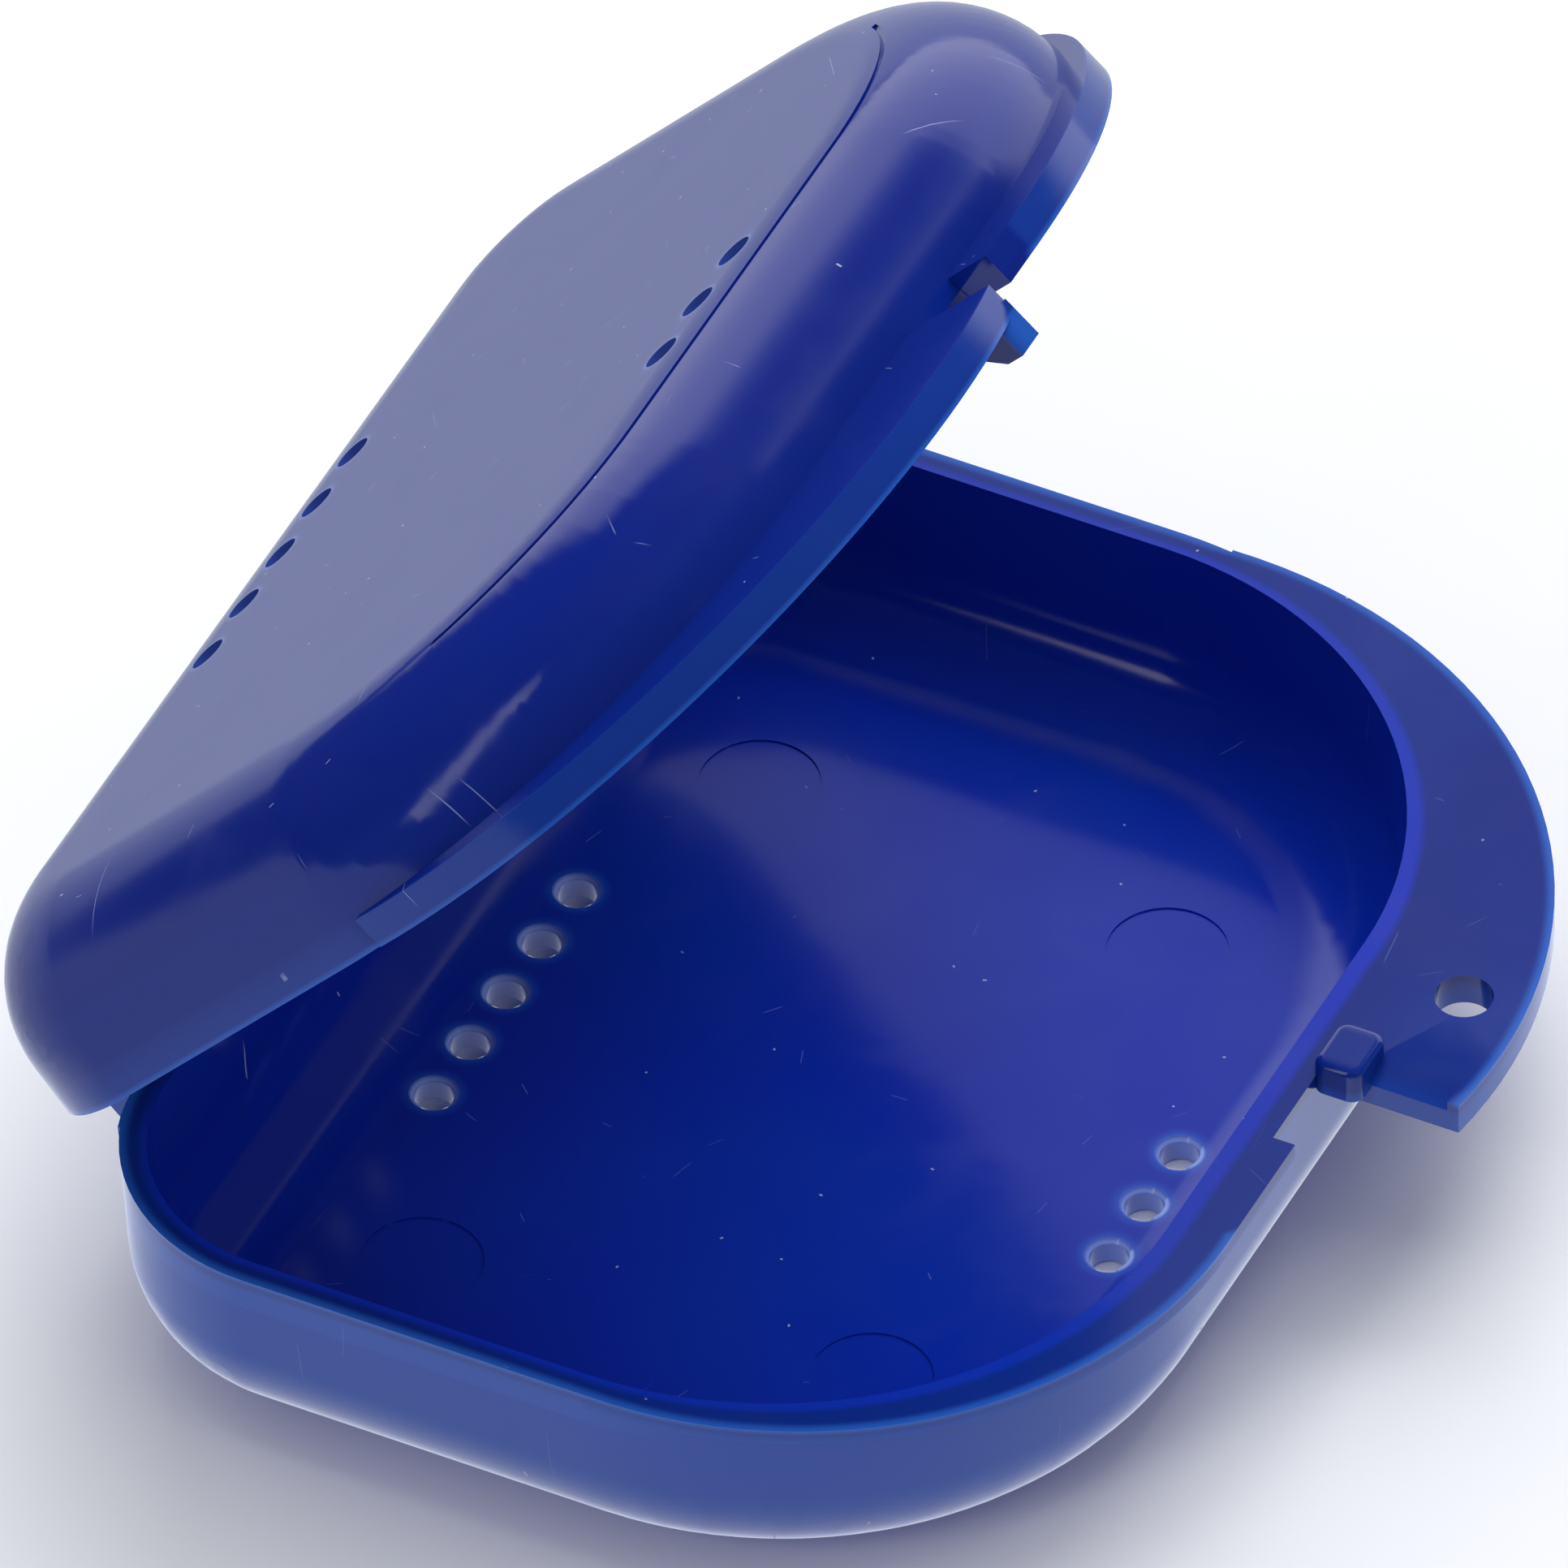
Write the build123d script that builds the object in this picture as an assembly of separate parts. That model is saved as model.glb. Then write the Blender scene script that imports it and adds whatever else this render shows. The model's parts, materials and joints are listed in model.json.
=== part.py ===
from build123d import *
import os
from math import radians, tan

# Retainer case, lid propped open as it is used.
# X runs from the hinge to the latch, Y runs along the hinge, Z is up.
# The origin is the middle of the flat that the tray stands on.
# Driving dimensions, in millimetres and degrees.
BODY_WIDTH = 84.6
BODY_DEPTH = 65.2
PARTING_GAP = 0.3
HINGE_CORNER = 13.5
FRONT_CORNER = 28.5
FLOOR = 1.7
SIDE_WALL = 1.7
FRONT_WALL = 2.4
INNER_ROUNDING = 7.0

# Tray
TRAY_HEIGHT = 15.3
TRAY_DRAFT = 3.0
TRAY_ROUNDING = 9.0

# Lid, with a fine groove round the front of its flat top
LID_HEIGHT = 11.4
LID_DRAFT = 7.0
LID_ROUNDING = 9.2
GROOVE_MARGIN = 7.2
GROOVE_WIDTH = 0.35
GROOVE_BOTTOM = 0.42
GROOVE_START_X = 17.0

# Crescent wings, which a thumb and a finger pull apart
WING_THICKNESS = 2.3
WING_RADIUS = 33.5
WING_CENTRE_X = 8.6
TRAY_WING_END_Y = 3.5
LID_WING_END_Y = 1.4
LANYARD_HOLE_RADIUS = 1.85
LANYARD_HOLE_X = 37.8
LANYARD_HOLE_Y = 12.4

# Sloping step along the end of the tray's wing
LEDGE_WIDTH = 2.2
LEDGE_DROP = 0.7
LEDGE_STOP = 1.2

# Narrow flange of the lid on the half without a wing
FLANGE_RADIUS = 32.0
FLANGE_CENTRE_X = 4.2
FLANGE_END_Y = 6.7

# Thin lip round the tray's corner on the half without a wing
LIP_HEIGHT = 1.1
LIP_RADIUS = 28.8
LIP_CENTRE_X = 5.3
LIP_END_Y = 3.9

# Latch: block on the tray, tab and nib on the lid
BLOCK_X = (32.3, 35.6)
BLOCK_Y = (2.0, 6.3)
BLOCK_RISE = 1.2
BLOCK_DROP = 1.2
BLOCK_CORNER = 0.9
BLOCK_EDGE = 0.5
TAB_Y = (-3.5, 1.6)
TAB_THICKNESS = 1.1
TAB_DROP = 1.3
NIB_DROP = 2.0
NIB_WIDTH = 2.2
NIB_SET_BACK = 1.4
NIB_LENGTH = 4.5
NIB_FOOT = 1.5
LATCH_GAP = 0.35

# Vents: five near the hinge and three near the latch, in both halves
VENT_RADIUS = 1.25
VENT_PITCH = 5.0
HINGE_ROW_X = -22.15
FRONT_ROW_X = 21.85
VENT_FLARE = 0.3

# Round marks left on the tray's floor by the mould
MARK_RADIUS = 3.85
MARK_DEPTH = 0.12
MARK_PLACES = ((13.3, 20.9), (-16.2, 23.6))

# Hinge
AXIS_OUT = 3.77
AXIS_HEIGHT = 13.43
KNUCKLE_RADIUS = 1.4
KNUCKLE_REACH = 6.5
WEB_ROOT = 1.2
PIN_RADIUS = 0.6
PIN_CLEARANCE = 0.05
PIN_CHAMFER = 0.15
PIN_SET_BACK = 0.2
TRAY_KNUCKLE_Y = (23.0, 28.0)
LID_KNUCKLE_Y = (16.0, 22.7)
PAD_Y = (21.0, 33.5)
PAD_BOTTOM = 4.0
PAD_DEPTH = 4.0
PAD_DRAFT = 4.0
OPEN_ANGLE = 48.5

# How far a cutting shape runs past the surface that it cuts
OVERCUT = 1.0

# Places worked out from the dimensions above
HALF_WIDTH = BODY_WIDTH / 2
HALF_DEPTH = BODY_DEPTH / 2
AXIS_X = -HALF_DEPTH - AXIS_OUT
LID_RIM = TRAY_HEIGHT + PARTING_GAP
LID_TOP = LID_RIM + LID_HEIGHT
LID_CEILING = LID_TOP - FLOOR
WING_CENTRE_Y = HALF_WIDTH - WING_RADIUS
WING_EDGE_X = WING_CENTRE_X + WING_RADIUS


def span_box(x, y, z):
    """Box from its lowest and highest value along each axis."""
    size = (x[1] - x[0], y[1] - y[0], z[1] - z[0])
    centre = ((x[0] + x[1]) / 2, (y[0] + y[1]) / 2, (z[0] + z[1]) / 2)
    return Pos(*centre) * Box(*size)


def plan(side, hinge, front, height):
    """Outline of the case, drawn in by a margin at the sides, the hinge and the front."""
    low = -HALF_DEPTH + hinge
    high = HALF_DEPTH - front
    outline = Pos((low + high) / 2, 0) * Rectangle(high - low, BODY_WIDTH - 2 * side)
    outline = fillet(outline.vertices().group_by(Axis.X)[0], HINGE_CORNER - (side + hinge) / 2)
    outline = fillet(outline.vertices().group_by(Axis.X)[-1], FRONT_CORNER - (side + front) / 2)
    return Pos(0, 0, height) * outline


def disc(x, y, radius, z):
    """Upright disc between two heights."""
    return Pos(x, y, (z[0] + z[1]) / 2) * Cylinder(radius, z[1] - z[0])


def rod(y, radius):
    """Round bar along the hinge axis."""
    return Pos(AXIS_X, (y[0] + y[1]) / 2, AXIS_HEIGHT) * Rot(90, 0, 0) * Cylinder(radius, y[1] - y[0])


def prism_along_y(points, y):
    """Solid whose section in the XZ plane has the given corners."""
    section = Plane.XZ * make_face(Polyline(*points, close=True).edges())
    return Pos(0, y[1], 0) * extrude(section, amount=y[1] - y[0])


def prism_along_x(points, x):
    """Solid whose section in the YZ plane has the given corners."""
    section = Plane.YZ * make_face(Polyline(*points, close=True).edges())
    return Pos(x[0], 0, 0) * extrude(section, amount=x[1] - x[0])


def mirrored(y):
    """The same stretch on the other side of the middle."""
    return (-y[1], -y[0])


def vents(low, high, opening, inward):
    """Both rows of vents, each flared a little where it meets the inside."""
    places = [(HINGE_ROW_X, VENT_PITCH * step) for step in range(-2, 3)]
    places += [(FRONT_ROW_X, VENT_PITCH * step) for step in range(-1, 2)]
    flare = Cone(VENT_RADIUS, VENT_RADIUS + VENT_FLARE, VENT_FLARE)
    if inward < 0:
        flare = Rot(180, 0, 0) * flare
    holes = Part()
    for x, y in places:
        holes += disc(x, y, VENT_RADIUS, (low, high))
        holes += Pos(x, y, opening - inward * VENT_FLARE / 2) * flare
    return holes


def crescent(centre_x, centre_y, radius, y, z):
    """Plate with a round outer edge, which the wall of a half closes on its inner side."""
    plate = disc(centre_x, centre_y, radius, z)
    return plate & span_box((centre_x - OVERCUT, centre_x + radius), y, z)


def corner_strip(centre_x, radius, end_y, z):
    """Strip round the far front corner that runs straight on towards the latch."""
    centre_y = HALF_WIDTH - radius
    curve = crescent(centre_x, centre_y, radius, (centre_y, HALF_WIDTH), z)
    return curve + span_box((centre_x, centre_x + radius), (end_y, centre_y), z)


def knuckle(y, wall):
    """Hinge knuckle with a web that runs to the wall between two heights."""
    web = [
        (AXIS_X - KNUCKLE_RADIUS, AXIS_HEIGHT),
        (AXIS_X, AXIS_HEIGHT),
        (-HALF_DEPTH, wall[0]),
        (-HALF_DEPTH + WEB_ROOT, wall[0]),
        (-HALF_DEPTH + WEB_ROOT, wall[1]),
    ]
    return rod(y, KNUCKLE_RADIUS) + prism_along_y(web, y)


def tray_shell():
    """Outer form of the tray, rounded into its flat bottom."""
    narrowing = TRAY_HEIGHT * tan(radians(TRAY_DRAFT))
    body = extrude(plan(narrowing, narrowing, narrowing, 0), amount=TRAY_HEIGHT, taper=-TRAY_DRAFT)
    return fillet(body.edges().group_by(Axis.Z)[0], TRAY_ROUNDING)


def tray_cavity():
    """Inside of the tray, open at the top."""
    narrowing = (TRAY_HEIGHT - FLOOR) * tan(radians(TRAY_DRAFT))
    side = SIDE_WALL + narrowing
    bottom = plan(side, side, FRONT_WALL + narrowing, FLOOR)
    cavity = extrude(bottom, amount=TRAY_HEIGHT - FLOOR + OVERCUT, taper=-TRAY_DRAFT)
    return fillet(cavity.edges().group_by(Axis.Z)[0], INNER_ROUNDING)


def tray_wing():
    """Wing of the tray, on the far half."""
    z = (TRAY_HEIGHT - WING_THICKNESS, TRAY_HEIGHT)
    return crescent(WING_CENTRE_X, WING_CENTRE_Y, WING_RADIUS, (TRAY_WING_END_Y, HALF_WIDTH), z)


def ledge_cut():
    """Sloping step along the end of the tray's wing."""
    top = TRAY_HEIGHT + OVERCUT
    low = TRAY_HEIGHT - LEDGE_DROP
    points = [
        (TRAY_WING_END_Y + LEDGE_WIDTH, TRAY_HEIGHT),
        (TRAY_WING_END_Y, low),
        (TRAY_WING_END_Y - OVERCUT, low),
        (TRAY_WING_END_Y - OVERCUT, top),
        (TRAY_WING_END_Y + LEDGE_WIDTH, top),
    ]
    return prism_along_x(points, (BLOCK_X[1], WING_EDGE_X - LEDGE_STOP))


def latch_block():
    """Rounded block that stands on the rim at the root of the tray's wing."""
    block = span_box(BLOCK_X, BLOCK_Y, (TRAY_HEIGHT - BLOCK_DROP, TRAY_HEIGHT + BLOCK_RISE))
    block = fillet(block.edges().filter_by(Axis.Z), BLOCK_CORNER)
    return fillet(block.faces().sort_by(Axis.Z)[-1].edges(), BLOCK_EDGE)


def corner_lip():
    """Lip round the near front corner of the tray's rim."""
    z = (TRAY_HEIGHT - LIP_HEIGHT, TRAY_HEIGHT)
    return mirror(corner_strip(LIP_CENTRE_X, LIP_RADIUS, LIP_END_Y, z), about=Plane.XZ)


def hinge_pad(y):
    """Pad on the tray's hinge wall that backs a knuckle."""
    height = TRAY_HEIGHT - PAD_BOTTOM
    narrowing = height * tan(radians(PAD_DRAFT))
    pad = extrude(plan(0, narrowing, 0, PAD_BOTTOM), amount=height, taper=-PAD_DRAFT)
    return pad & span_box((-HALF_DEPTH, -HALF_DEPTH + PAD_DEPTH), y, (PAD_BOTTOM, TRAY_HEIGHT))


def make_tray():
    """Tray: shell, wing, latch block, vents and the outer knuckles of the hinge."""
    tray = tray_shell() + tray_wing() + corner_lip()
    for y in (PAD_Y, mirrored(PAD_Y)):
        tray += hinge_pad(y)
    tray -= tray_cavity()
    tray += latch_block()
    for y in (TRAY_KNUCKLE_Y, mirrored(TRAY_KNUCKLE_Y)):
        tray += knuckle(y, (AXIS_HEIGHT, AXIS_HEIGHT - KNUCKLE_REACH))
    tray -= ledge_cut()
    tray -= disc(LANYARD_HOLE_X, LANYARD_HOLE_Y, LANYARD_HOLE_RADIUS, (0, LID_TOP))
    tray -= vents(-OVERCUT, FLOOR + OVERCUT, FLOOR, 1)
    for x, y in MARK_PLACES:
        for side in (1, -1):
            tray -= disc(x, side * y, MARK_RADIUS, (FLOOR - MARK_DEPTH, FLOOR + OVERCUT))
    tray -= rod((-HALF_WIDTH, HALF_WIDTH), PIN_RADIUS)
    return tray


def lid_shell():
    """Outer form of the lid, rounded into its flat top."""
    body = extrude(plan(0, 0, 0, LID_RIM), amount=LID_HEIGHT, taper=LID_DRAFT)
    return fillet(body.edges().group_by(Axis.Z)[-1], LID_ROUNDING)


def top_groove():
    """Fine groove where the front of the lid's flat top meets its dome."""
    low = LID_TOP - GROOVE_BOTTOM
    outer = extrude(plan(GROOVE_MARGIN, GROOVE_MARGIN, GROOVE_MARGIN, low), amount=OVERCUT)
    drawn_in = GROOVE_MARGIN + GROOVE_WIDTH
    inner = extrude(plan(drawn_in, drawn_in, drawn_in, low), amount=OVERCUT)
    front = span_box((GROOVE_START_X, HALF_DEPTH), (-HALF_WIDTH, HALF_WIDTH), (low, LID_TOP + OVERCUT))
    return (outer - inner) & front


def lid_cavity():
    """Inside of the lid, open towards the tray."""
    opening = plan(SIDE_WALL, SIDE_WALL, FRONT_WALL, LID_RIM)
    body = extrude(opening, amount=LID_CEILING - LID_RIM, taper=LID_DRAFT)
    body = fillet(body.edges().group_by(Axis.Z)[-1], INNER_ROUNDING)
    return body + extrude(opening, amount=-OVERCUT)


def lid_edge():
    """Wide wing on the near half and narrow flange on the far half."""
    z = (LID_RIM, LID_RIM + WING_THICKNESS)
    wing = crescent(WING_CENTRE_X, -WING_CENTRE_Y, WING_RADIUS, (-HALF_WIDTH, LID_WING_END_Y), z)
    return wing + corner_strip(FLANGE_CENTRE_X, FLANGE_RADIUS, FLANGE_END_Y, z)


def latch_tab():
    """Tab that drops in front of the tray's wall, between its lip and its latch block."""
    inner = HALF_DEPTH + LATCH_GAP
    return span_box((inner, inner + TAB_THICKNESS), TAB_Y, (LID_RIM - TAB_DROP, LID_RIM + WING_THICKNESS))


def wing_nib():
    """Sloping nib under the end of the lid's wing."""
    outer = WING_EDGE_X - NIB_SET_BACK
    root = LID_RIM + OVERCUT
    tip = LID_RIM - NIB_DROP
    points = [
        (outer - NIB_LENGTH, root),
        (outer - NIB_LENGTH, LID_RIM),
        (outer - NIB_FOOT, tip),
        (outer, tip),
        (outer, root),
    ]
    return prism_along_y(points, (LID_WING_END_Y - NIB_WIDTH, LID_WING_END_Y))


def block_window():
    """Slot in the lid's front wall that clears the tray's latch block."""
    y = (BLOCK_Y[0] - LATCH_GAP, BLOCK_Y[1] + LATCH_GAP)
    z = (LID_RIM - OVERCUT, TRAY_HEIGHT + BLOCK_RISE + LATCH_GAP)
    return span_box((HALF_DEPTH - FRONT_WALL - OVERCUT, BLOCK_X[1] + OVERCUT), y, z)


def opened(shape):
    """Swing a closed lid shape open about the hinge axis."""
    return Pos(AXIS_X, 0, AXIS_HEIGHT) * Rot(0, -OPEN_ANGLE, 0) * Pos(-AXIS_X, 0, -AXIS_HEIGHT) * shape


def make_lid():
    """Lid: dome, wing, flange, latch tab, vents and the inner knuckles of the hinge."""
    lid = lid_shell() + lid_edge() + latch_tab() + wing_nib()
    lid -= top_groove()
    lid -= lid_cavity()
    for y in (LID_KNUCKLE_Y, mirrored(LID_KNUCKLE_Y)):
        lid += knuckle(y, (LID_RIM, AXIS_HEIGHT + KNUCKLE_REACH))
    lid -= block_window()
    lid -= vents(LID_CEILING - OVERCUT, LID_TOP + OVERCUT, LID_CEILING, -1)
    lid -= rod((-HALF_WIDTH, HALF_WIDTH), PIN_RADIUS + PIN_CLEARANCE)
    return opened(lid)


def make_pin(y):
    """Hinge pin, pressed into a tray knuckle and free in the lid's."""
    return chamfer(rod(y, PIN_RADIUS).edges(), PIN_CHAMFER)


def main():
    os.makedirs("parts", exist_ok=True)
    far_pin = (LID_KNUCKLE_Y[0] + PIN_SET_BACK, TRAY_KNUCKLE_Y[1])
    nodes = {
        "base_tray": make_tray(),
        "lid": make_lid(),
        "hinge_pin_near": make_pin(mirrored(far_pin)),
        "hinge_pin_far": make_pin(far_pin),
    }
    for name, shape in nodes.items():
        export_step(shape, f"parts/{name}.step")


main()
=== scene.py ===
import json
import logging
import math
from dataclasses import dataclass
from enum import Enum
from typing import Any, Optional, Union

import bmesh
import bpy
from mathutils import Matrix, Vector

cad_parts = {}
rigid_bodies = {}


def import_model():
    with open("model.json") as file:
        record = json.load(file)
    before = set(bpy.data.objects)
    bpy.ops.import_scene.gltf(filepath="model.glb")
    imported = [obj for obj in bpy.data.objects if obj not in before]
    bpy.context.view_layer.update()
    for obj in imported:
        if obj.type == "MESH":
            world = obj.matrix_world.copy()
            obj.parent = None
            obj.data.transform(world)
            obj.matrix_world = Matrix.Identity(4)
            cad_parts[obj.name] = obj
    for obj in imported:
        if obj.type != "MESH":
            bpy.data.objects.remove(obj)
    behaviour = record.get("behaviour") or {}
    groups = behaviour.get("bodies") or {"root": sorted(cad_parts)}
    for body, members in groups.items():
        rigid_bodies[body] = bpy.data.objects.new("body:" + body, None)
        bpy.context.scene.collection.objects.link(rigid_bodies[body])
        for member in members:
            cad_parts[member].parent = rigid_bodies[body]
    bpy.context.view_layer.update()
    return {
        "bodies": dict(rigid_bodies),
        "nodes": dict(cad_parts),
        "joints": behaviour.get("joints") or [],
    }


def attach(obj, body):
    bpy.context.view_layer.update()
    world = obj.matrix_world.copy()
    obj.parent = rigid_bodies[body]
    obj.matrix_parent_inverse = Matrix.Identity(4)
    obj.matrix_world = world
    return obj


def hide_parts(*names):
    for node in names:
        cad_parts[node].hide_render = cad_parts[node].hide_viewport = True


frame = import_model()

LOG = logging.getLogger("retainer_case")
MM = 0.001
PHOTO_PIXELS = 1932
RIGHT_ANGLE = 90.0
Colour = tuple[float, float, float, float]
BLACK: Colour = (0.0, 0.0, 0.0, 1.0)
NO_MOVE = Vector((0.0, 0.0, 0.0))
NO_STRETCH = Vector((1.0, 1.0, 1.0))


@dataclass(frozen=True)
class ScreenCurve:
    """Curve that a screen's colour values follow, straight at first and then a power."""

    full: int = 255
    bend: float = 0.04045
    slope: float = 12.92
    offset: float = 0.055
    power: float = 2.4

    def straight(self, value: int) -> float:
        """Undo the curve for one channel.

        Args:
            value: The channel, from 0 to 255.

        Returns:
            The linear value, from 0 to 1.
        """
        share = value / self.full
        if share <= self.bend:
            return share / self.slope
        return ((share + self.offset) / (1.0 + self.offset)) ** self.power


def srgb(red: int, green: int, blue: int) -> Colour:
    """Turn a screen colour into the linear colour that a shader takes.

    Args:
        red: Red from 0 to 255.
        green: Green from 0 to 255.
        blue: Blue from 0 to 255.

    Returns:
        The linear colour, with an alpha of 1.
    """
    curve = ScreenCurve()
    return curve.straight(red), curve.straight(green), curve.straight(blue), 1.0


def towards(azimuth: float, elevation: float) -> Vector:
    """Give the direction from the object to a viewer or lamp.

    Args:
        azimuth: Degrees round the object; 0 is the side that looks along +Y.
        elevation: Degrees above the floor.

    Returns:
        A vector of length 1.
    """
    turn = math.radians(azimuth)
    rise = math.radians(elevation)
    level = math.cos(rise)
    return Vector((math.sin(turn) * level, -math.cos(turn) * level, math.sin(rise)))


class MathStep(Enum):
    """Arithmetic that a Math node does."""

    ADD = "ADD"
    SUBTRACT = "SUBTRACT"
    MULTIPLY = "MULTIPLY"
    DIVIDE = "DIVIDE"
    POWER = "POWER"
    ABSOLUTE = "ABSOLUTE"
    MINIMUM = "MINIMUM"
    MAXIMUM = "MAXIMUM"
    ROUND = "ROUND"
    SINE = "SINE"
    COSINE = "COSINE"
    ARCSINE = "ARCSINE"
    BEARING = "ARCTAN2"


class VectorStep(Enum):
    """Arithmetic that a Vector Math node does."""

    SUBTRACT = "SUBTRACT"
    SCALE = "SCALE"


class Ray(Enum):
    """Kind of ray that a Light Path node tells apart."""

    CAMERA = "Is Camera Ray"
    GLOSSY = "Is Glossy Ray"


class Wire:
    """Output socket that adds Math nodes when it is used in arithmetic."""

    def __init__(self, shader: "Shader", socket: bpy.types.NodeSocket) -> None:
        """Hold a socket and the shader that it belongs to.

        Args:
            shader: Shader whose tree holds the socket.
            socket: The output socket.
        """
        self.shader = shader
        self.socket = socket

    def _step(self, step: MathStep, *terms: "Number") -> "Wire":
        """Add one Math node.

        Args:
            step: What the node does.
            *terms: Its inputs, in order.

        Returns:
            The node's output.
        """
        made = self.shader.node("ShaderNodeMath", {"operation": step.value}, dict(enumerate(terms)))
        return Wire(self.shader, made.outputs[0])

    def __add__(self, other: "Number") -> "Wire":
        """Add to this value."""
        return self._step(MathStep.ADD, self, other)

    def __radd__(self, other: "Number") -> "Wire":
        """Add this value to a number."""
        return self._step(MathStep.ADD, other, self)

    def __sub__(self, other: "Number") -> "Wire":
        """Take away from this value."""
        return self._step(MathStep.SUBTRACT, self, other)

    def __rsub__(self, other: "Number") -> "Wire":
        """Take this value away from a number."""
        return self._step(MathStep.SUBTRACT, other, self)

    def __mul__(self, other: "Number") -> "Wire":
        """Multiply this value."""
        return self._step(MathStep.MULTIPLY, self, other)

    def __rmul__(self, other: "Number") -> "Wire":
        """Multiply a number by this value."""
        return self._step(MathStep.MULTIPLY, other, self)

    def __truediv__(self, other: "Number") -> "Wire":
        """Divide this value."""
        return self._step(MathStep.DIVIDE, self, other)

    def __rtruediv__(self, other: "Number") -> "Wire":
        """Divide a number by this value."""
        return self._step(MathStep.DIVIDE, other, self)

    def __pow__(self, other: "Number") -> "Wire":
        """Raise this value to a power."""
        return self._step(MathStep.POWER, self, other)

    def __rpow__(self, other: "Number") -> "Wire":
        """Raise a number to this value."""
        return self._step(MathStep.POWER, other, self)

    def __abs__(self) -> "Wire":
        """Drop the sign of this value."""
        return self._step(MathStep.ABSOLUTE, self)

    def rounded(self) -> "Wire":
        """Give the nearest whole number."""
        return self._step(MathStep.ROUND, self)

    def sine(self) -> "Wire":
        """Give the sine of this angle in radians."""
        return self._step(MathStep.SINE, self)

    def cosine(self) -> "Wire":
        """Give the cosine of this angle in radians."""
        return self._step(MathStep.COSINE, self)

    def rise(self) -> "Wire":
        """Give the angle in degrees whose sine this value is."""
        return self._step(MathStep.ARCSINE, self) * math.degrees(1.0)

    def bearing(self, ahead: "Wire") -> "Wire":
        """Give the angle in degrees off the way ahead; this value is the part aside."""
        return self._step(MathStep.BEARING, self, ahead) * math.degrees(1.0)

    def smaller(self, other: "Number") -> "Wire":
        """Give the smaller of this value and another."""
        return self._step(MathStep.MINIMUM, self, other)

    def larger(self, other: "Number") -> "Wire":
        """Give the larger of this value and another."""
        return self._step(MathStep.MAXIMUM, self, other)

    def rising(self, low: float, high: float) -> "Wire":
        """Give a soft step that is 0 below low and 1 above high.

        Args:
            low: Where the step starts.
            high: Where it ends; below low it makes a falling step.

        Returns:
            The step.
        """
        sockets = {"Value": self, "From Min": low, "From Max": high}
        made = self.shader.node("ShaderNodeMapRange", {"interpolation_type": "SMOOTHSTEP"}, sockets)
        return Wire(self.shader, made.outputs[0])


Number = Union[Wire, float]


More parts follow.
